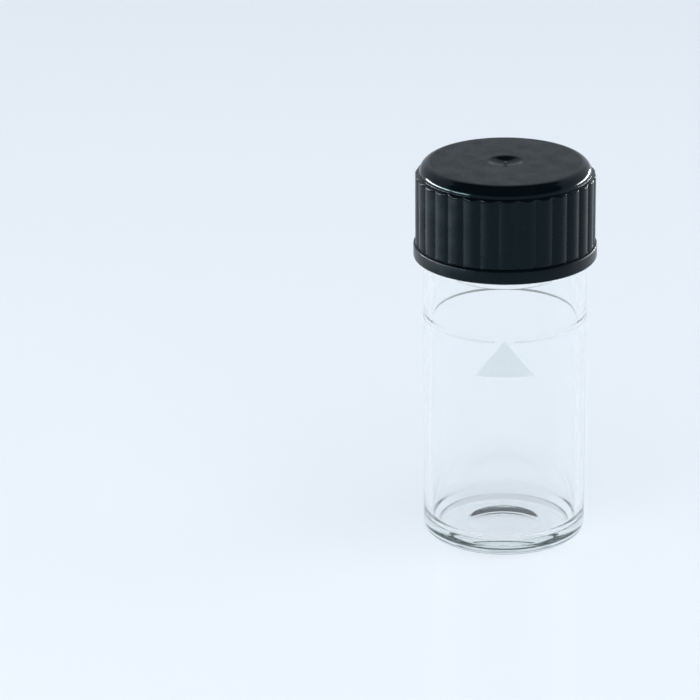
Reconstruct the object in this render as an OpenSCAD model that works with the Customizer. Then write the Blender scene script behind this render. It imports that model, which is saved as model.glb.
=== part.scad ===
// Round glass sample cell with a ribbed screw cap, standing upright on its base.
// Units are millimetres. The axis is Z, the base rests on Z = 0, and the alignment triangle faces -Y.

/* [Glass body] */
// Outer diameter of the straight glass wall
body_d = 25; // [24.8:0.1:25.2]
// Height of the closed cell, from the base to the top of the cap
overall_h = 60; // [56:0.5:80]
// Thickness of the glass wall
wall_t = 1.4; // [1.2:0.1:1.6]
// Thickness of the glass base outside the dish
base_t = 2; // [1.6:0.1:3]
// Radius of the rounded heel between base and wall
heel_r = 1.6; // [1:0.1:2]
// Radius of the fillet round the inside of the base
floor_fillet_r = 2; // [0.8:0.1:2.2]
// Width of the shallow dish pushed up under the base
dish_d = 11.5; // [8:0.5:16]
// Depth of the dish under the base
dish_h = 0.55; // [0.2:0.05:0.8]
// Radius of the rounded shoulder under the neck
shoulder_r = 2; // [1.8:0.1:2.2]

/* [Neck and thread] */
// Outer diameter of the neck, at the root of its thread
neck_d = 21.5; // [21.3:0.1:21.7]
// Bore of the neck
neck_bore_d = 18.4; // [17:0.1:18.6]
// Rise of the thread in one turn, 8 turns to the inch
pitch = 3.175; // [3:0.025:3.3]
// Turns of thread on the neck
neck_turns = 1.5; // [1.25:0.05:1.6]
// Height of the neck's thread above its root
neck_thread_h = 1; // [0.8:0.05:1.05]
// Width of the neck's thread along the axis
neck_thread_w = 2.3; // [1.8:0.1:2.4]

/* [Cap] */
// Height of the cap
cap_h = 15; // [14.5:0.1:15.5]
// Diameter over the crests of the ribs
rib_d = 27.5; // [27.3:0.1:27.7]
// Number of ribs round the cap
rib_count = 30; // [24:1:40]
// Depth of the grooves between the ribs
rib_depth = 0.35; // [0.2:0.05:0.4]
// Rounding at the ends of the ribs
rib_end_r = 0.35; // [0.2:0.05:0.5]
// Turn of the ribs about the axis, in degrees, when the cap is tight
rib_turn = -4; // [-6:1:6]
// Diameter of the smooth crown above the ribs
crown_d = 26.2; // [26:0.1:26.4]
// Height of the smooth crown above the ribs
crown_h = 1.9; // [1.7:0.1:2.2]
// Radius round the top edge of the crown
crown_edge_r = 1.7; // [0.8:0.1:1.8]
// Diameter of the smooth bead round the mouth of the cap
bead_d = 28; // [27.8:0.1:28.4]
// Height of the bead
bead_h = 2.15; // [1.8:0.05:2.6]
// Rounding of the bead's two edges
bead_edge_r = 0.25; // [0.2:0.05:0.6]
// Thickness of the cap's top
cap_top_t = 1.4; // [1.2:0.1:1.8]
// Inner diameter of the cap, at the root of its thread
cap_bore_d = 24.3; // [24.2:0.1:24.5]
// Turns of thread inside the cap
cap_turns = 1.25; // [1:0.05:1.25]
// Height of the cap's thread above its root
cap_thread_h = 1.1; // [0.8:0.05:1.1]
// Width of the cap's thread along the axis
cap_thread_w = 1.6; // [1.2:0.1:1.7]
// Width of the moulding dimple in the middle of the top
dimple_d = 5.4; // [4:0.1:7]
// Depth of the dimple
dimple_h = 0.7; // [0.3:0.05:0.8]
// Width of the moulding stub left in the dimple
stub_d = 0.6; // [0.5:0.1:1.2]

/* [Liner] */
// Thickness of the sealing disc in the cap
liner_t = 1.2; // [1:0.1:1.6]
// Diameter of the sealing disc
liner_d = 23.6; // [23:0.1:23.7]

/* [Fired marks] */
// Height of the fill line above the bench
line_z = 35.3; // [30:0.1:38]
// Width of the fill line
line_w = 0.35; // [0.2:0.05:0.6]
// Gap in the fill line above the triangle
line_gap = 2.9; // [2:0.1:4]
// Width of the triangle along its base
triangle_w = 9; // [6:0.5:10]
// Height of the triangle
triangle_h = 5.8; // [4:0.1:8]
// Thickness of the fired enamel
enamel_t = 0.05; // [0.04:0.01:0.1]

/* [Hidden] */
$fn = 120;

body_r = body_d / 2;
bore_r = body_r - wall_t;
neck_r = neck_d / 2;
neck_bore_r = neck_bore_d / 2;
cap_z = overall_h - cap_h;
ceiling_z = overall_h - cap_top_t;
lip_z = ceiling_z - liner_t;
lip_r = (neck_r - neck_bore_r) / 2;

// The shoulder's arc ends just inside the mouth of the cap, so the cap's rim hides the neck.
shoulder_rise = 0.9;
shoulder_top_z = cap_z + shoulder_rise;
shoulder_z = shoulder_top_z - shoulder_r;
shoulder_inner_r = shoulder_r - wall_t;
neck_fillet_r = 0.5;
neck_bore_fillet_r = 0.8;

// The neck's thread starts a little below the lip. The cap's thread lies under it, with slack.
thread_drop = 2;
neck_thread_top_z = lip_z - thread_drop;
neck_thread_z = neck_thread_top_z - pitch * neck_turns;
thread_slack = 0.45;
cap_thread_z = neck_thread_z - pitch / 2 + thread_slack;
thread_root = 0.4;
thread_skim = 0.05;
thread_steps = 36;
thread_fade = 5;
thread_sides = 8;

// Each rib is a round lobe that passes through its crest and the two grooves beside it.
rib_r = rib_d / 2;
groove_r = rib_r - rib_depth;
rib_half_angle = 180 / rib_count;
rib_rise = rib_r - groove_r * cos(rib_half_angle);
rib_half_w = groove_r * sin(rib_half_angle);
lobe_r = (rib_rise * rib_rise + rib_half_w * rib_half_w) / (2 * rib_rise);
rib_top_z = overall_h - crown_h;
bead_top_z = cap_z + bead_h;
rib_core_r = groove_r - 0.1;
cap_bore_r = cap_bore_d / 2;
mouth_chamfer = 0.4;
stub_h = dimple_h * 0.85;
stub_root = 0.2;

// How far a joined solid or a cut runs past the face where it starts.
lap = 1;

// Radius of the sphere that cuts a dish of width w and depth h.
function dish_radius(w, h) = (w * w / 4 + h * h) / (2 * h);

line_half_angle = asin(line_gap / 2 / body_r);
line_top_z = line_z + line_w / 2;

glass_colour = [0.9, 0.94, 0.95, 0.35];
plastic_colour = [0.09, 0.12, 0.14];
liner_colour = [0.85, 0.85, 0.82];
enamel_colour = [0.84, 0.88, 0.9];

// One ring of the thread's section, turned by a degrees and raised by z.
// The section is a rounded ridge on root radius r: dir is 1 for a ridge outwards and -1 for one inwards.
function thread_ring(r, h, w, dir, a, z, fade) = [
    for (i = [0 : thread_sides + 2])
    let (
        on_ridge = i <= thread_sides,
        t = on_ridge ? 2 * i / thread_sides - 1 : (i == thread_sides + 1 ? 1 : -1),
        ridge = (h + thread_skim) * fade * pow(cos(90 * t), 2) - thread_skim,
        ring_r = r + dir * (on_ridge ? ridge : -thread_root)
    )
    [ring_r * cos(a), ring_r * sin(a), z + t * w / 2]
];

// A right-hand thread of the given turns, swept from z upwards. It fades out at both ends.
module thread(r, h, w, dir, turns, z, start) {
    steps = round(thread_steps * turns);
    sides = thread_sides + 3;
    rings = [
        for (k = [0 : steps])
        let (turn = k * turns / steps)
        each thread_ring(r, h, w, dir, start + 360 * turn, z + pitch * turn,
            min(1, k / thread_fade, (steps - k) / thread_fade))
    ];
    skin = [
        for (k = [0 : steps - 1], i = [0 : sides - 1])
        let (
            j = (i + 1) % sides,
            a = k * sides + i,
            b = k * sides + j,
            c = b + sides,
            d = a + sides
        )
        each (dir > 0 ? [[a, b, c], [a, c, d]] : [[a, c, b], [a, d, c]])
    ];
    first = [for (i = [0 : sides - 1]) dir > 0 ? sides - 1 - i : i];
    last = [for (i = [0 : sides - 1]) steps * sides + (dir > 0 ? i : sides - 1 - i)];
    polyhedron(points = rings, faces = concat(skin, [first, last]), convexity = 6);
}

// Outer section of the glass: heel, straight wall, round shoulder and neck with a round lip.
module glass_outline() {
    square([body_r - heel_r, heel_r]);
    translate([body_r - heel_r, heel_r]) circle(r = heel_r);
    translate([0, heel_r]) square([body_r, shoulder_z - heel_r]);
    translate([body_r - shoulder_r, shoulder_z]) circle(r = shoulder_r);
    square([body_r - shoulder_r, shoulder_top_z]);
    square([neck_r, lip_z - lip_r]);
    translate([neck_r - lip_r, lip_z - lip_r]) circle(r = lip_r);
    square([neck_r - lip_r, lip_z]);
    neck_fillet();
}

// The concave fillet that blends the shoulder into the neck. It is tangent to both.
module neck_fillet() {
    shoulder_c = body_r - shoulder_r;
    fillet_c = neck_r + neck_fillet_r;
    reach = shoulder_r + neck_fillet_r;
    fillet_z = shoulder_z + sqrt(reach * reach - pow(fillet_c - shoulder_c, 2));
    difference() {
        polygon([
            [shoulder_c, shoulder_z],
            [fillet_c, fillet_z],
            [shoulder_c, fillet_z]
        ]);
        translate([fillet_c, fillet_z]) circle(r = neck_fillet_r);
    }
}

// Section of the space inside the glass, from the floor to beyond the lip.
module glass_cavity() {
    floor_r = bore_r - floor_fillet_r;
    flare_r = neck_bore_r + neck_bore_fillet_r;
    ceiling = shoulder_top_z - wall_t;
    lip_foot_z = lip_z - lip_r;
    translate([0, base_t]) square([floor_r, ceiling - base_t]);
    translate([floor_r, base_t + floor_fillet_r]) circle(r = floor_fillet_r);
    translate([0, base_t + floor_fillet_r]) square([bore_r, shoulder_z - base_t - floor_fillet_r]);
    translate([bore_r - shoulder_inner_r, shoulder_z]) circle(r = shoulder_inner_r);
    translate([0, ceiling - shoulder_inner_r]) square([bore_r - shoulder_inner_r, shoulder_inner_r]);
    translate([0, ceiling]) square([neck_bore_r, lip_foot_z - ceiling]);
    difference() {
        translate([0, lip_foot_z]) square([neck_bore_r + lip_r, lip_r + lap]);
        translate([neck_bore_r + lip_r, lip_foot_z]) circle(r = lip_r);
    }
    difference() {
        translate([0, ceiling - neck_bore_fillet_r]) square([flare_r, 2 * neck_bore_fillet_r]);
        translate([flare_r, ceiling + neck_bore_fillet_r]) circle(r = neck_bore_fillet_r);
    }
}

// The glass cell, one piece from base to lip.
module glass_vial() {
    dish_r = dish_radius(dish_d, dish_h);
    color(glass_colour)
    union() {
        rotate_extrude()
        difference() {
            glass_outline();
            glass_cavity();
            translate([0, dish_h - dish_r]) circle(r = dish_r);
        }
        thread(neck_r, neck_thread_h, neck_thread_w, 1, neck_turns, neck_thread_z, 0);
    }
}

// Plan of the ribbed side: a ring of round lobes.
module rib_plan() {
    circle(r = rib_core_r);
    for (i = [0 : rib_count - 1])
        rotate(rib_turn + i * 360 / rib_count)
        translate([rib_r - lobe_r, 0])
        circle(r = lobe_r);
}

// Section that rounds both ends of every rib.
module rib_ends() {
    foot_z = bead_top_z + rib_end_r;
    crest_in = rib_r - rib_end_r;
    square([rib_core_r - rib_end_r, rib_top_z]);
    translate([0, bead_top_z]) square([crest_in, rib_top_z - bead_top_z]);
    translate([0, foot_z]) square([rib_r, rib_top_z - rib_end_r - foot_z]);
    translate([crest_in, foot_z]) circle(r = rib_end_r);
    translate([crest_in, rib_top_z - rib_end_r]) circle(r = rib_end_r);
}

// Outer section of the crown and of the bead round the mouth.
module crown_and_bead() {
    crown_r = crown_d / 2;
    bead_r = bead_d / 2;
    translate([0, rib_top_z - lap]) square([crown_r, crown_h + lap - crown_edge_r]);
    translate([0, rib_top_z]) square([crown_r - crown_edge_r, crown_h]);
    translate([crown_r - crown_edge_r, overall_h - crown_edge_r]) circle(r = crown_edge_r);
    translate([0, cap_z]) square([bead_r - bead_edge_r, bead_h]);
    translate([0, cap_z + bead_edge_r]) square([bead_r, bead_h - 2 * bead_edge_r]);
    translate([bead_r - bead_edge_r, cap_z + bead_edge_r]) circle(r = bead_edge_r);
    translate([bead_r - bead_edge_r, bead_top_z - bead_edge_r]) circle(r = bead_edge_r);
}

// Section of the space inside the cap, with a chamfer at the mouth.
module cap_cavity() {
    translate([0, cap_z - lap]) square([cap_bore_r, ceiling_z - cap_z + lap]);
    polygon([
        [0, cap_z - lap],
        [cap_bore_r + mouth_chamfer + lap, cap_z - lap],
        [cap_bore_r, cap_z + mouth_chamfer],
        [0, cap_z + mouth_chamfer]
    ]);
}

// The moulded cap: crown, ribs, bead, inner thread, and a dimple with its moulding stub.
module screw_cap() {
    dimple_r = dish_radius(dimple_d, dimple_h);
    color(plastic_colour)
    union() {
        difference() {
            union() {
                rotate_extrude() crown_and_bead();
                intersection() {
                    translate([0, 0, bead_top_z - lap])
                    linear_extrude(rib_top_z - bead_top_z + lap)
                    rib_plan();
                    rotate_extrude() rib_ends();
                }
            }
            rotate_extrude() cap_cavity();
            translate([0, 0, overall_h + dimple_r - dimple_h]) sphere(r = dimple_r);
        }
        translate([0, 0, overall_h - dimple_h - stub_root]) cylinder(d = stub_d, h = stub_h + stub_root);
        thread(cap_bore_r, cap_thread_h, cap_thread_w, -1, cap_turns, cap_thread_z, 0);
    }
}

// The sealing disc between the glass lip and the top of the cap.
module cap_liner() {
    color(liner_colour)
    translate([0, 0, lip_z])
    cylinder(d = liner_d, h = liner_t);
}

// The fill line round the glass, open above the triangle.
module fill_line() {
    color(enamel_colour)
    rotate(line_half_angle - 90)
    rotate_extrude(angle = 360 - 2 * line_half_angle)
    translate([body_r, line_z - line_w / 2])
    square([enamel_t, line_w]);
}

// The triangle under the gap, with its point at the fill line.
module alignment_triangle() {
    color(enamel_colour)
    intersection() {
        translate([0, 0, line_top_z - triangle_h])
        rotate_extrude()
        translate([body_r, 0])
        square([enamel_t, triangle_h]);
        translate([0, 0, line_top_z])
        rotate([90, 0, 0])
        linear_extrude(body_d)
        polygon([[0, 0], [-triangle_w / 2, -triangle_h], [triangle_w / 2, -triangle_h]]);
    }
}

glass_vial();
screw_cap();
cap_liner();
fill_line();
alignment_triangle();
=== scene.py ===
import math

import bmesh
import bpy
import numpy as np
from mathutils import Matrix, Vector


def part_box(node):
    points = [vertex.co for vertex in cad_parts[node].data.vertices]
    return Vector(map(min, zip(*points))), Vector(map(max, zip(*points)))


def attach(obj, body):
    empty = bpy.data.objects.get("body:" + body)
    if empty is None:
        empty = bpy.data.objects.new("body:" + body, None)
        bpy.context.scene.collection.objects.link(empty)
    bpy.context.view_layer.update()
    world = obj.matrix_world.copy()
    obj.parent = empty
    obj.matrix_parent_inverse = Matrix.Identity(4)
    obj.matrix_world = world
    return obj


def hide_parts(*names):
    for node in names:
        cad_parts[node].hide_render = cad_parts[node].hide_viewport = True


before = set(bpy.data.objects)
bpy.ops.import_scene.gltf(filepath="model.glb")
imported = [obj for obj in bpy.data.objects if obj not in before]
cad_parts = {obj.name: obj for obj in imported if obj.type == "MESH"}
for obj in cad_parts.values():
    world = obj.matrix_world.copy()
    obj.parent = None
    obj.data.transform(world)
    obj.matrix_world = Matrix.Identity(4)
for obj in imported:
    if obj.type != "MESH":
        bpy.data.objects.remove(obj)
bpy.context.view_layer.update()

MM = 0.001

# ---------------------------------------------------------------- camera

# A long lens from a little above: the vial stands right of the picture's centre.
CAMERA_PLACE = (0.0, -0.6295, 0.2657)
CAMERA_PITCH = math.radians(20.57)
CAMERA_YAW = math.radians(2.165)
CAMERA_ROLL = math.radians(-0.48)
LENS_MM = 224.6
SENSOR_MM = 36.0
CLIP_START = 0.01
CLIP_END = 50.0


def make_camera():
    data = bpy.data.cameras.new("camera")
    data.lens = LENS_MM
    data.sensor_width = SENSOR_MM
    data.clip_start = CLIP_START
    data.clip_end = CLIP_END
    camera = bpy.data.objects.new("camera", data)
    bpy.context.scene.collection.objects.link(camera)
    turn = Matrix.Rotation(CAMERA_YAW, 4, "Z")
    tilt = Matrix.Rotation(math.pi / 2 - CAMERA_PITCH, 4, "X")
    roll = Matrix.Rotation(CAMERA_ROLL, 4, "Z")
    camera.matrix_world = Matrix.Translation(CAMERA_PLACE) @ turn @ tilt @ roll
    bpy.context.scene.camera = camera


make_camera()

# ---------------------------------------------------------------- sizes

# Outer sizes come from the frame. The others repeat the part's own dimensions.
lip_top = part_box("glass_vial")[1].z
cap_low, cap_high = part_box("screw_cap")
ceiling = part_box("cap_liner")[1].z
line_low, line_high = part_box("fill_line")
triangle_low, triangle_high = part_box("alignment_triangle")
cap_top = cap_high.z
cap_mouth = cap_low.z

BODY_R = 12.5 * MM
WALL = 1.4 * MM
BASE = 2.0 * MM
HEEL_R = 1.6 * MM
FLOOR_FILLET_R = 2.0 * MM
DISH_R = 5.75 * MM
DISH_H = 0.55 * MM
SHOULDER_R = 2.0 * MM
SHOULDER_RISE = 0.9 * MM
NECK_R = 10.75 * MM
NECK_BORE_R = 9.2 * MM
NECK_FILLET_R = 0.5 * MM
NECK_FLARE_R = 0.8 * MM
PITCH = 3.175 * MM
NECK_TURNS = 1.5
NECK_THREAD_H = 1.0 * MM
NECK_THREAD_W = 2.3 * MM
CAP_TURNS = 1.25
CAP_THREAD_H = 1.1 * MM
CAP_THREAD_W = 1.6 * MM
THREAD_SLACK = 0.45 * MM
THREAD_DROP = 2.0 * MM
THREAD_FADE = 5 / 36

RIB_COUNT = 30
RIB_TURN = math.radians(-4)
RIB_R = 13.75 * MM
RIB_DEPTH = 0.35 * MM
RIB_END_R = 0.35 * MM
CROWN_R = 13.1 * MM
CROWN_H = 1.9 * MM
CROWN_EDGE_R = 1.7 * MM
BEAD_R = 14.0 * MM
BEAD_H = 2.15 * MM
BEAD_EDGE_R = 0.25 * MM
CAP_BORE_R = 12.15 * MM
MOUTH_CHAMFER = 0.4 * MM
DIMPLE_R = 2.7 * MM
DIMPLE_H = 0.7 * MM
DIMPLE_RIM = 0.35 * MM
# How softly the dimple's rim rolls over into the flat top.
DIMPLE_ROLL = 0.12 * MM
LEDGE_FILLET_R = 0.12 * MM
STUB_R = 0.3 * MM
STUB_H = DIMPLE_H * 0.85
STUB_EDGE_R = STUB_R * 0.8

LINE_GAP = 2.9 * MM
ENAMEL_T = 0.05 * MM
ENAMEL_BITE = 0.01 * MM
# The tip of the triangle keeps a hair of height, so that it stays a closed solid.
TIP_H = 0.005 * MM

# The rows next to the axis have these radii. A point on the axis closes each of them.
GLASS_POLE_R = 0.3 * MM
STUB_POLE_R = 0.02 * MM
CEILING_POLE_R = 0.1 * MM

# ---------------------------------------------------------------- mesh tools


def arc(centre_r, centre_z, radius, start, end, steps):
    """Points of a round stretch of a section, angles in degrees from outwards."""
    angles = np.radians(np.linspace(start, end, steps + 1))
    return [(centre_r + radius * math.cos(a), centre_z + radius * math.sin(a)) for a in angles]


def straight(start, end, steps):
    """Points between two ends of a section's straight stretch, without the ends."""
    shares = np.linspace(0, 1, steps + 1)[1:-1]
    return [tuple(np.array(start) + s * (np.array(end) - np.array(start))) for s in shares]


def held(start, end, margin=0.05 * MM):
    """The same with one point close to each end, which keeps the shading of the stretch flat."""
    a, b = np.array(start), np.array(end)
    way = (b - a) / np.linalg.norm(b - a) * margin
    return [tuple(a + way), tuple(b - way)]


def sphere_radius(rim_r, height):
    """Radius of the sphere or circle that a shallow round of this rim and height is cut from."""
    return (rim_r**2 + height**2) / (2 * height)


def smoothstep(x):
    """0 below 0, 1 above 1, and a soft rise between."""
    x = np.clip(x, 0, 1)
    return x * x * (3 - 2 * x)


def make_object(name, vertices, faces, smooth=True):
    mesh = bpy.data.meshes.new(name)
    mesh.from_pydata(vertices, [], faces)
    shell = bmesh.new()
    shell.from_mesh(mesh)
    bmesh.ops.recalc_face_normals(shell, faces=shell.faces)
    shell.to_mesh(mesh)
    shell.free()
    mesh.polygons.foreach_set("use_smooth", [smooth] * len(mesh.polygons))
    mesh.update()
    piece = bpy.data.objects.new(name, mesh)
    bpy.context.scene.collection.objects.link(piece)
    return piece


def revolved(name, radii, heights, angles):
    """A closed skin round the axis: rows of radii and heights over the columns' angles, closed
    by a single point on the axis before the first row and after the last."""
    rows, columns = radii.shape
    x = radii * np.cos(angles)
    y = radii * np.sin(angles)
    ring = np.stack([x, y, heights], axis=2).reshape(-1, 3)
    first = (0.0, 0.0, float(heights[0].mean()))
    last = (0.0, 0.0, float(heights[-1].mean()))
    vertices = [first, last] + [tuple(p) for p in ring.tolist()]
    faces = []
    for column in range(columns):
        following = (column + 1) % columns
        a, b = 2 + column, 2 + following
        faces.append((0, a, b))
        for row in range(rows - 1):
            faces.append((a, a + columns, b + columns, b))
            a += columns
            b += columns
        faces.append((1, b, a))
    return make_object(name, vertices, faces)


def ridge_of(angles, heights, foot, turns, ridge_h, ridge_w):
    """How far a right-hand thread stands out at each place of a grid of angles and heights."""
    out = np.zeros(np.broadcast(angles, heights).shape)
    for lap in range(math.ceil(turns) + 1):
        turn = angles / math.tau + lap
        across = (heights - foot - PITCH * turn) / (ridge_w / 2)
        fade = smoothstep(np.minimum(turn, turns - turn) / THREAD_FADE)
        ridge = ridge_h * fade * np.cos(np.pi / 2 * np.clip(across, -1, 1)) ** 2
        out = np.maximum(out, ridge)
    return out


# ---------------------------------------------------------------- glass

GLASS_COLUMNS = 240
NECK_ROWS = 76
# Rows this close to the neck's own radius carry the thread.
NECK_REACH = 0.01 * MM


def glass_section():
    """The glass's section, from the dish's middle round the outside to the floor's middle."""
    shoulder_top = cap_mouth + SHOULDER_RISE
    shoulder = (BODY_R - SHOULDER_R, shoulder_top - SHOULDER_R)
    fillet_r = NECK_R + NECK_FILLET_R
    reach = SHOULDER_R + NECK_FILLET_R
    fillet_z = shoulder[1] + math.sqrt(reach**2 - (fillet_r - shoulder[0]) ** 2)
    meeting = math.degrees(math.atan2(fillet_z - shoulder[1], fillet_r - shoulder[0]))
    lip_r = (NECK_R - NECK_BORE_R) / 2
    lip_z = lip_top - lip_r
    inner_ceiling = shoulder_top - WALL
    inner_r = SHOULDER_R - WALL
    bore_r = BODY_R - WALL
    floor_r = bore_r - FLOOR_FILLET_R
    flare_r = NECK_BORE_R + NECK_FLARE_R
    sphere_r = sphere_radius(DISH_R, DISH_H)
    dish_radii = np.linspace(GLASS_POLE_R, DISH_R, 14)
    dish = [(r, DISH_H - sphere_r + math.sqrt(sphere_r**2 - r * r)) for r in dish_radii]
    foot = BODY_R - HEEL_R
    return (
        dish
        + held((DISH_R, 0), (foot, 0))
        + arc(foot, HEEL_R, HEEL_R, -90, 0, 14)
        + held((BODY_R, HEEL_R), (BODY_R, shoulder[1]))
        + arc(*shoulder, SHOULDER_R, 0, meeting, 12)
        + arc(fillet_r, fillet_z, NECK_FILLET_R, meeting + 180, 180, 6)[1:]
        + straight((NECK_R, fillet_z), (NECK_R, lip_z), NECK_ROWS)
        + arc(NECK_R - lip_r, lip_z, lip_r, 0, 180, 20)
        + held((NECK_BORE_R, lip_z), (NECK_BORE_R, inner_ceiling + NECK_FLARE_R))
        + arc(flare_r, inner_ceiling + NECK_FLARE_R, NECK_FLARE_R, 180, 270, 8)
        + arc(bore_r - inner_r, inner_ceiling - inner_r, inner_r, 90, 0, 8)
        + held((bore_r, shoulder[1]), (bore_r, BASE + FLOOR_FILLET_R))
        + arc(floor_r, BASE + FLOOR_FILLET_R, FLOOR_FILLET_R, 0, -90, 12)
        + held((floor_r, BASE), (GLASS_POLE_R, BASE))
    )


def make_glass():
    section = np.array(glass_section())
    angles = np.arange(GLASS_COLUMNS) * math.tau / GLASS_COLUMNS
    radii = np.repeat(section[:, :1], GLASS_COLUMNS, axis=1)
    heights = np.repeat(section[:, 1:], GLASS_COLUMNS, axis=1)
    foot = lip_top - THREAD_DROP - PITCH * NECK_TURNS
    ridge = ridge_of(angles[None, :], heights, foot, NECK_TURNS, NECK_THREAD_H, NECK_THREAD_W)
    on_neck = (np.abs(radii - NECK_R) < NECK_REACH) & (heights > cap_mouth)
    radii = np.where(on_neck, radii + ridge, radii)
    return revolved("glass", radii, heights, angles)


# ---------------------------------------------------------------- cap

COLUMNS_PER_RIB = 14
BORE_ROWS = 80
# What a row of the cap's section belongs to.
PLAIN, RIBBED, THREADED = 0, 1, 2


def rib_radius(angles):
    """Radius of the ribbed side at each angle: round lobes that meet in grooves."""
    half = math.pi / RIB_COUNT
    groove_r = RIB_R - RIB_DEPTH
    rise = RIB_R - groove_r * math.cos(half)
    half_w = groove_r * math.sin(half)
    lobe_r = sphere_radius(half_w, rise)
    off = (angles - RIB_TURN + half) % (2 * half) - half
    centre = RIB_R - lobe_r
    return centre * np.cos(off) + np.sqrt(lobe_r**2 - (centre * np.sin(off)) ** 2)


def rib_columns():
    """Column angles, closer together beside each groove."""
    steps = np.arange(COLUMNS_PER_RIB) / COLUMNS_PER_RIB * 2 - 1
    within = np.sin(steps * math.pi / 2)
    half = math.pi / RIB_COUNT
    angles = (np.arange(RIB_COUNT)[:, None] * 2 + within[None, :]) * half + RIB_TURN
    return angles.ravel()


def rows_of(kind, points):
    """Marks each point of a stretch of the cap's section with what it belongs to."""
    return [(r, z, kind) for r, z in points]


def dimple_points():
    """The dimple from the stub's foot to the flat top."""
    sphere_r = sphere_radius(DIMPLE_R, DIMPLE_H)
    rim_r = DIMPLE_R + DIMPLE_RIM
    points = []
    for r in np.linspace(STUB_R, rim_r, 26):
        depth = np.sqrt(sphere_r**2 - r * r) - (sphere_r - DIMPLE_H)
        # The rim rolls over into the flat, so the depth fades to nothing instead of going negative.
        rolled = (depth + math.sqrt(depth**2 + DIMPLE_ROLL**2)) / 2
        fade = smoothstep((rim_r - r) / (2 * DIMPLE_RIM))
        points.append((r, cap_top - rolled * fade))
    return points


def cap_section():
    """Rows of the cap as (radius, height, kind), from the middle of the top over the outside and
    up the bore."""
    stub_top = cap_top - DIMPLE_H + STUB_H
    stub_in = STUB_R - STUB_EDGE_R
    edge_r = CROWN_R - CROWN_EDGE_R
    crown_foot = cap_top - CROWN_H
    ledge_r = CROWN_R + LEDGE_FILLET_R
    crest_in = RIB_R - RIB_END_R
    rib_top = crown_foot - RIB_END_R
    rib_foot = cap_mouth + BEAD_H
    rib_low = rib_foot + RIB_END_R
    bead_in = BEAD_R - BEAD_EDGE_R
    bore_foot = cap_mouth + MOUTH_CHAMFER
    rows = [(STUB_POLE_R, stub_top, PLAIN)]
    rows += rows_of(PLAIN, arc(stub_in, stub_top - STUB_EDGE_R, STUB_EDGE_R, 90, 0, 8))
    rows += rows_of(PLAIN, dimple_points())
    rows += rows_of(PLAIN, straight((DIMPLE_R + DIMPLE_RIM, cap_top), (edge_r, cap_top), 12))
    rows += rows_of(PLAIN, arc(edge_r, cap_top - CROWN_EDGE_R, CROWN_EDGE_R, 90, 0, 16))
    rows += rows_of(PLAIN, arc(ledge_r, crown_foot + LEDGE_FILLET_R, LEDGE_FILLET_R, 180, 270, 5))
    rows += rows_of(RIBBED, arc(crest_in, rib_top, RIB_END_R, 90, 0, 8))
    rows += rows_of(RIBBED, straight((RIB_R, rib_top), (RIB_R, rib_low), 6))
    rows += rows_of(RIBBED, arc(crest_in, rib_low, RIB_END_R, 0, -90, 8))
    rows += rows_of(PLAIN, arc(bead_in, rib_foot - BEAD_EDGE_R, BEAD_EDGE_R, 90, 0, 8))
    rows += rows_of(PLAIN, arc(bead_in, cap_mouth + BEAD_EDGE_R, BEAD_EDGE_R, 0, -90, 8))
    rows += [(CAP_BORE_R + MOUTH_CHAMFER, cap_mouth, PLAIN), (CAP_BORE_R, bore_foot, THREADED)]
    rows += rows_of(THREADED, straight((CAP_BORE_R, bore_foot), (CAP_BORE_R, ceiling), BORE_ROWS))
    rows += rows_of(PLAIN, [(r, ceiling) for r in (CAP_BORE_R, CAP_BORE_R / 2, CEILING_POLE_R)])
    return np.array(rows)


def make_cap():
    rows = cap_section()
    angles = rib_columns()
    columns = len(angles)
    radii = np.repeat(rows[:, :1], columns, axis=1)
    heights = np.repeat(rows[:, 1:2], columns, axis=1)
    kinds = rows[:, 2:]
    radii = np.where(kinds == RIBBED, np.minimum(radii, rib_radius(angles)[None, :]), radii)
    neck_foot = lip_top - THREAD_DROP - PITCH * NECK_TURNS
    foot = neck_foot - PITCH / 2 + THREAD_SLACK
    wrapped = np.broadcast_to(angles % math.tau, radii.shape)
    ridge = ridge_of(wrapped, heights, foot, CAP_TURNS, CAP_THREAD_H, CAP_THREAD_W)
    radii = np.where(kinds == THREADED, radii - ridge, radii)
    return revolved("cap", radii, heights, angles)


# ---------------------------------------------------------------- fired marks

LINE_STEPS = 236
TRIANGLE_STEPS = 40


def curved_patch(name, outline, lengths):
    """A thin sheet wrapped on the glass. outline(x) gives its low and high edge at arc length x."""
    inner, outer = BODY_R - ENAMEL_BITE, BODY_R + ENAMEL_T
    vertices, faces = [], []
    for x in lengths:
        low, high = outline(x)
        angle = x / BODY_R - math.pi / 2
        for radius in (inner, outer):
            for z in (low, high):
                vertices.append((radius * math.cos(angle), radius * math.sin(angle), z))
    for k in range(len(lengths) - 1):
        a = 4 * k
        b = a + 4
        faces += [(a + 2, b + 2, b + 3, a + 3), (a + 1, b + 1, b, a)]
        faces += [(a, b, b + 2, a + 2), (a + 3, b + 3, b + 1, a + 1)]
    end = 4 * (len(lengths) - 1)
    faces += [(0, 2, 3, 1), (end + 1, end + 3, end + 2, end)]
    return make_object(name, vertices, faces, smooth=False)


def make_line():
    half_gap = BODY_R * math.asin(LINE_GAP / 2 / BODY_R)
    lengths = np.linspace(half_gap, math.tau * BODY_R - half_gap, LINE_STEPS + 1)
    return curved_patch("line", lambda x: (line_low.z, line_high.z), lengths)


def make_triangle():
    half_w = BODY_R * math.asin(triangle_high.x / BODY_R)
    height = triangle_high.z - triangle_low.z

    def outline(x):
        chord = abs(BODY_R * math.sin(x / BODY_R)) / triangle_high.x
        return triangle_low.z, triangle_low.z + max(height * (1 - chord), TIP_H)

    lengths = np.linspace(-half_w, half_w, TRIANGLE_STEPS + 1)
    return curved_patch("triangle", outline, lengths)


# ---------------------------------------------------------------- materials

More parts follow.
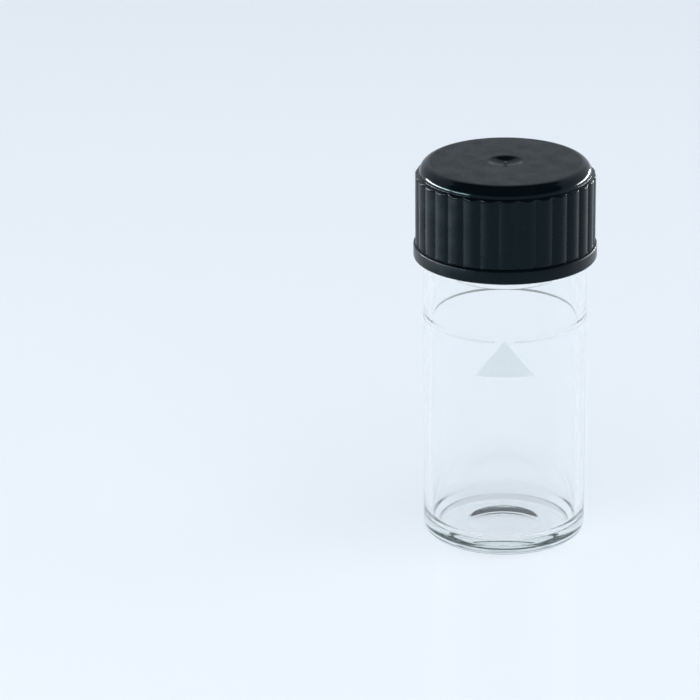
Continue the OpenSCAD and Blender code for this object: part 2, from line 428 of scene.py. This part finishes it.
PLASTIC_DARK = (0.0010, 0.0028, 0.0040)
PLASTIC_LIGHT = (0.0026, 0.0052, 0.0068)
PLASTIC_SPECK = (0.028, 0.032, 0.034)
# The stub's grey is partly the torn gate's own colour and partly painted light.
PLASTIC_TORN_AND_PAINTED_LIGHT = (0.060, 0.068, 0.072)
PLASTIC_TINT = (0.6, 0.9, 1.0, 1)
PLASTIC_SPECULAR = 0.17
STUB_ROUGHNESS = 0.55
RIB_GRAIN = 0.15
GLASS_COLOUR = (0.99, 0.995, 0.995, 1)
GLASS_IOR = 1.473
GLASS_DEPTH_COLOUR = (0.6, 0.86, 0.8, 1)
GLASS_DENSITY = 7.0
LINER_DARK = (0.72, 0.72, 0.69)
LINER_LIGHT = (0.85, 0.85, 0.82)
ENAMEL_DARK = (0.59, 0.65, 0.67)
ENAMEL_LIGHT = (0.64, 0.70, 0.72)

# The satin of the flat top fades out over this width beyond its edge, and between these depths
# below the top.
FLAT_FADE = 0.7 * MM
FLAT_DEPTHS = (0.25 * MM, 0.05 * MM)
# The duller finish of the ribs begins between these depths below the foot of the crown.
RIB_DEPTHS = (0.6 * MM, 0.3 * MM)
# The stub's torn finish and its painted light end between these shares of the stub's radius, and
# between these shares of the dimple's depth.
STUB_RADII = (1.1, 1.4)
STUB_DEPTHS = (1.3, 1.1)


def new_material(name):
    material = bpy.data.materials.new(name)
    material.use_nodes = True
    return material, material.node_tree, material.node_tree.nodes["Principled BSDF"]


def noise(tree, scale, detail=2.0, stretch=(1, 1, 1)):
    """A noise pattern in the object's own metres."""
    place = tree.nodes.new("ShaderNodeTexCoord")
    mapping = tree.nodes.new("ShaderNodeMapping")
    mapping.inputs["Scale"].default_value = stretch
    texture = tree.nodes.new("ShaderNodeTexNoise")
    texture.inputs["Scale"].default_value = scale
    texture.inputs["Detail"].default_value = detail
    tree.links.new(place.outputs["Object"], mapping.inputs["Vector"])
    tree.links.new(mapping.outputs["Vector"], texture.inputs["Vector"])
    return texture.outputs["Fac"]


def spread(tree, value, low, high, start=0.3, end=0.7):
    """Maps a pattern from start..end to low..high."""
    node = tree.nodes.new("ShaderNodeMapRange")
    node.inputs["From Min"].default_value = start
    node.inputs["From Max"].default_value = end
    node.inputs["To Min"].default_value = low
    node.inputs["To Max"].default_value = high
    tree.links.new(value, node.inputs["Value"])
    return node.outputs["Result"]


def plug(tree, source, socket):
    """Feeds a socket with a plain number, a colour or another node's output."""
    if isinstance(source, (int, float)):
        socket.default_value = source
    elif isinstance(source, tuple):
        socket.default_value = (*source, 1)
    else:
        tree.links.new(source, socket)


def blend_colour(tree, share, first, second):
    """Goes from the first colour to the second as share goes from 0 to 1."""
    node = tree.nodes.new("ShaderNodeMix")
    node.data_type = "RGBA"
    plug(tree, share, node.inputs["Factor"])
    plug(tree, first, node.inputs["A"])
    plug(tree, second, node.inputs["B"])
    return node.outputs["Result"]


def multiplied(tree, first, second):
    node = tree.nodes.new("ShaderNodeMath")
    node.operation = "MULTIPLY"
    plug(tree, first, node.inputs[0])
    plug(tree, second, node.inputs[1])
    return node.outputs["Value"]


def blend_value(tree, share, first, second):
    """Goes from the first number to the second as share goes from 0 to 1."""
    node = tree.nodes.new("ShaderNodeMix")
    plug(tree, share, node.inputs["Factor"])
    plug(tree, first, node.inputs["A"])
    plug(tree, second, node.inputs["B"])
    return node.outputs["Result"]


def cap_masks(tree):
    """Three masks that are 1 on the cap's flat top, on its ribs and bead, and on its stub."""
    place = tree.nodes.new("ShaderNodeTexCoord")
    parts = tree.nodes.new("ShaderNodeSeparateXYZ")
    across = tree.nodes.new("ShaderNodeCombineXYZ")
    length = tree.nodes.new("ShaderNodeVectorMath")
    length.operation = "LENGTH"
    tree.links.new(place.outputs["Object"], parts.inputs["Vector"])
    tree.links.new(parts.outputs["X"], across.inputs["X"])
    tree.links.new(parts.outputs["Y"], across.inputs["Y"])
    tree.links.new(across.outputs["Vector"], length.inputs[0])
    radius, height = length.outputs["Value"], parts.outputs["Z"]
    flat_r = CROWN_R - CROWN_EDGE_R
    inside_edge = spread(tree, radius, 1.0, 0.0, flat_r, flat_r + FLAT_FADE)
    at_top = spread(tree, height, 0.0, 1.0, *[cap_top - depth for depth in FLAT_DEPTHS])
    crown_foot = cap_top - CROWN_H
    ribs = spread(tree, height, 1.0, 0.0, *[crown_foot - depth for depth in RIB_DEPTHS])
    at_middle = spread(tree, radius, 1.0, 0.0, *[STUB_R * share for share in STUB_RADII])
    stub_heights = [cap_top - DIMPLE_H * share for share in STUB_DEPTHS]
    above_floor = spread(tree, height, 0.0, 1.0, *stub_heights)
    return multiplied(tree, inside_edge, at_top), ribs, multiplied(tree, at_middle, above_floor)


def bump(tree, value, distance, strength=1.0):
    node = tree.nodes.new("ShaderNodeBump")
    plug(tree, strength, node.inputs["Strength"])
    node.inputs["Distance"].default_value = distance
    tree.links.new(value, node.inputs["Height"])
    return node.outputs["Normal"]


def glass_material():
    """Clear glass with faint smudges, faint marks drawn along the wall, and a slight green tint
    where it is thick."""
    material, tree, shader = new_material("clear_glass")
    shader.inputs["Base Color"].default_value = GLASS_COLOUR
    shader.inputs["Transmission Weight"].default_value = 1.0
    shader.inputs["IOR"].default_value = GLASS_IOR
    smudge = noise(tree, scale=180, detail=3)
    tree.links.new(spread(tree, smudge, 0.0, 0.02), shader.inputs["Roughness"])
    drawn = noise(tree, scale=260, detail=1, stretch=(1, 1, 0.05))
    tree.links.new(bump(tree, drawn, distance=0.004 * MM), shader.inputs["Normal"])
    absorb = tree.nodes.new("ShaderNodeVolumeAbsorption")
    absorb.inputs["Color"].default_value = GLASS_DEPTH_COLOUR
    absorb.inputs["Density"].default_value = GLASS_DENSITY
    tree.links.new(absorb.outputs["Volume"], tree.nodes["Material Output"].inputs["Volume"])
    return material


def plastic_material():
    """Moulded black plastic: glossy on the crown's edge, duller on the ribs, and satin with a fine
    grain and pale specks on the flat top. The moulding stub is rough and torn, and painted a
    lighter grey: partly its own torn colour, partly painted light where shade and dark reflections
    would leave it black."""
    material, tree, shader = new_material("black_plastic")
    flat_top, ribs, stub = cap_masks(tree)
    tone = noise(tree, scale=350, detail=3)
    speck = spread(tree, noise(tree, scale=2600, detail=1), 0.0, 1.0, 0.58, 0.70)
    colour = blend_colour(tree, tone, PLASTIC_DARK, PLASTIC_LIGHT)
    colour = blend_colour(tree, multiplied(tree, speck, flat_top), colour, PLASTIC_SPECK)
    # Painted light: the stub gets a lighter grey, partly its torn colour, partly standing in for
    # light where shade would leave it black.
    colour = blend_colour(tree, stub, colour, PLASTIC_TORN_AND_PAINTED_LIGHT)
    tree.links.new(colour, shader.inputs["Base Color"])
    rough = blend_value(tree, ribs, spread(tree, tone, 0.10, 0.15), spread(tree, tone, 0.24, 0.32))
    rough = blend_value(tree, flat_top, rough, spread(tree, tone, 0.36, 0.46))
    rough = blend_value(tree, stub, rough, STUB_ROUGHNESS)
    tree.links.new(rough, shader.inputs["Roughness"])
    grain = noise(tree, scale=4500, detail=3)
    depth = blend_value(tree, flat_top, RIB_GRAIN, 1.0)
    tree.links.new(bump(tree, grain, 0.012 * MM, depth), shader.inputs["Normal"])
    shader.inputs["Specular IOR Level"].default_value = PLASTIC_SPECULAR
    shader.inputs["Specular Tint"].default_value = PLASTIC_TINT
    return material


def liner_material():
    """Off-white plastic with a fine, cell-like grain."""
    material, tree, shader = new_material("liner_plastic")
    cells = noise(tree, scale=2600, detail=3)
    colour = blend_colour(tree, cells, LINER_DARK, LINER_LIGHT)
    tree.links.new(colour, shader.inputs["Base Color"])
    tree.links.new(spread(tree, cells, 0.55, 0.75), shader.inputs["Roughness"])
    tree.links.new(bump(tree, cells, distance=0.03 * MM, strength=0.5), shader.inputs["Normal"])
    return material


def enamel_material():
    """Pale fired enamel, slightly mottled."""
    material, tree, shader = new_material("white_enamel")
    mottle = noise(tree, scale=1600, detail=3)
    colour = blend_colour(tree, mottle, ENAMEL_DARK, ENAMEL_LIGHT)
    tree.links.new(colour, shader.inputs["Base Color"])
    tree.links.new(spread(tree, mottle, 0.4, 0.55), shader.inputs["Roughness"])
    tree.links.new(bump(tree, mottle, distance=0.01 * MM, strength=0.5), shader.inputs["Normal"])
    return material


def dress(piece, material, slot, body, *nodes):
    """Gives a piece its material, the body it rides on and the nodes it stands for."""
    piece.data.materials.clear()
    piece.data.materials.append(material)
    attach(piece, body)
    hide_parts(*nodes)


enamel = enamel_material()
glass = make_glass()
dress(glass, glass_material(), "clear_glass", "vial", "glass_vial")
cap = make_cap()
dress(cap, plastic_material(), "black_plastic", "cap", "screw_cap")
line = make_line()
dress(line, enamel, "white_enamel", "vial", "fill_line")
triangle = make_triangle()
dress(triangle, enamel, "white_enamel", "vial", "alignment_triangle")
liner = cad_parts["cap_liner"]
liner.material_slots[0].material = liner_material()

# Light reaches the floor through clear glass, so the glass throws no shadow of its own.
glass.visible_shadow = False

# ---------------------------------------------------------------- stage and light

FLOOR_SIZE = 6.0
# A hair of air lies between the glass base and the floor.
FLOOR_GAP = 0.02 * MM
FLOOR_COLOUR = (0.80, 0.85, 0.91, 1)
FLOOR_ROUGHNESS = 0.18
FLOOR_SPECULAR = 0.3

WALL_COLOUR = (0.80, 0.87, 0.95)
DARK_COLOUR = (0.02, 0.025, 0.03)
ROOM_STRENGTH = 0.85
# How high the pale walls of the room reach, as the sine of the elevation.
WALL_TOP_FRONT = 0.08
WALL_TOP_BACK = 0.77
# Where the walls' top rises from front to back, as the y of a direction.
WALL_RISE = (-0.25, 0.1)
# Half the height of the soft edge between the walls and the dark.
WALL_EDGE = 0.03

OVERHEAD_PLACE = (0, -0.9, 1.3)
OVERHEAD_AIM = (0, 0, 0)
OVERHEAD_SIZE = 2.6
OVERHEAD_POWER = 33.0
PANEL_SIZE = (1.9, 0.8)
PANEL_POWER = 16.0
# The panels stand a little farther out than the cards, and all of them aim at the cap.
PANEL_OUT = 1.5
CARD_OUT = 1.4
SIDE_Y = -0.1
SIDE_Z = 0.42
SIDE_AIM = (0, 0, 0.05)

# The softboxes are this much shorter than the vial and stand level with its middle, so they end
# below the cap's top and no view finds their glare on it.
SOFTBOX_SPARE = 4 * MM

BOUNCES = 32


def make_floor():
    half = FLOOR_SIZE / 2
    corners = [(-half, -half), (half, -half), (half, half), (-half, half)]
    floor = make_object("floor", [(x, y, -FLOOR_GAP) for x, y in corners], [(0, 1, 2, 3)])
    material, tree, shader = new_material("floor")
    shader.inputs["Base Color"].default_value = FLOOR_COLOUR
    shader.inputs["Roughness"].default_value = FLOOR_ROUGHNESS
    shader.inputs["Specular IOR Level"].default_value = FLOOR_SPECULAR
    floor.data.materials.append(material)
    return floor


def make_world():
    """A pale room that reaches high behind the vial and little above the horizon in front of it.
    The rest is dark."""
    world = bpy.data.worlds.new("studio")
    world.use_nodes = True
    tree = world.node_tree
    background = tree.nodes["Background"]
    place = tree.nodes.new("ShaderNodeTexCoord")
    parts = tree.nodes.new("ShaderNodeSeparateXYZ")
    tree.links.new(place.outputs["Generated"], parts.inputs["Vector"])
    top = spread(tree, parts.outputs["Y"], WALL_TOP_FRONT, WALL_TOP_BACK, *WALL_RISE)
    above = tree.nodes.new("ShaderNodeMath")
    above.operation = "SUBTRACT"
    tree.links.new(parts.outputs["Z"], above.inputs[0])
    tree.links.new(top, above.inputs[1])
    dark = spread(tree, above.outputs["Value"], 0.0, 1.0, -WALL_EDGE, WALL_EDGE)
    colour = blend_colour(tree, dark, WALL_COLOUR, DARK_COLOUR)
    tree.links.new(colour, background.inputs["Color"])
    background.inputs["Strength"].default_value = ROOM_STRENGTH
    bpy.context.scene.world = world


def area_light(name, place, aim, width, height, power):
    """A rectangular lamp at a place, turned to aim at a point, and never seen itself."""
    data = bpy.data.lights.new(name, "AREA")
    data.shape = "RECTANGLE"
    data.size = width
    data.size_y = height
    data.energy = power
    light = bpy.data.objects.new(name, data)
    bpy.context.scene.collection.objects.link(light)
    light.location = place
    way = np.array(aim) - np.array(place)
    light.rotation_euler = Vector(way).to_track_quat("-Z", "Y").to_euler()
    light.visible_camera = False
    return light


def lit_only(name, lamps, pieces):
    """Keeps the lamps' light to the given pieces."""
    receivers = bpy.data.collections.new(name)
    for piece in pieces:
        receivers.objects.link(piece)
    for lamp in lamps:
        lamp.light_linking.receiver_collection = receivers


def make_room_lights(floor):
    """One broad lamp overhead and a large soft panel each side. They light what they fall on, and
    nothing mirrors them. The panels leave the cap out."""
    size = (OVERHEAD_SIZE, OVERHEAD_SIZE)
    overhead = area_light("overhead", OVERHEAD_PLACE, OVERHEAD_AIM, *size, OVERHEAD_POWER)
    panels = [
        area_light("left_panel", (-PANEL_OUT, SIDE_Y, SIDE_Z), SIDE_AIM, *PANEL_SIZE, PANEL_POWER),
        area_light("right_panel", (PANEL_OUT, SIDE_Y, SIDE_Z), SIDE_AIM, *PANEL_SIZE, PANEL_POWER),
    ]
    for lamp in [overhead] + panels:
        lamp.visible_glossy = False
        lamp.visible_transmission = False
    lit_only("all_but_cap", panels, [glass, line, triangle, liner, floor])


def make_mirrored_lights():
    """A card each side that only the glass mirrors, and low softboxes that only the cap mirrors."""
    cards = [
        area_light("left_card", (-CARD_OUT, SIDE_Y, SIDE_Z), SIDE_AIM, *PANEL_SIZE, PANEL_POWER),
        area_light("right_card", (CARD_OUT, SIDE_Y, SIDE_Z), SIDE_AIM, *PANEL_SIZE, PANEL_POWER),
    ]
    lit_only("glass_only", cards, [glass])
    tall = cap_top - SOFTBOX_SPARE
    mid = cap_top / 2
    aim = (0, 0, mid)
    softboxes = [
        area_light("left_softbox", (-0.60, 0.12, mid), aim, 0.55, tall, power=6.0),
        area_light("left_front_softbox", (-0.52, -0.30, mid), aim, 0.25, tall, power=1.8),
        area_light("right_softbox", (0.47, 0.39, mid), aim, 0.50, tall, power=3.4),
    ]
    lit_only("cap_only", softboxes, [cap])
    for lamp in cards + softboxes:
        lamp.visible_diffuse = False
        lamp.visible_transmission = False


make_world()
make_room_lights(make_floor())
make_mirrored_lights()

scene = bpy.context.scene
scene.view_settings.view_transform = "Standard"
scene.cycles.max_bounces = BOUNCES
scene.cycles.transmission_bounces = BOUNCES
# A reflection inside the glass counts as a glossy bounce, and the heel needs many.
scene.cycles.glossy_bounces = BOUNCES
scene.cycles.caustics_reflective = False
scene.cycles.caustics_refractive = True
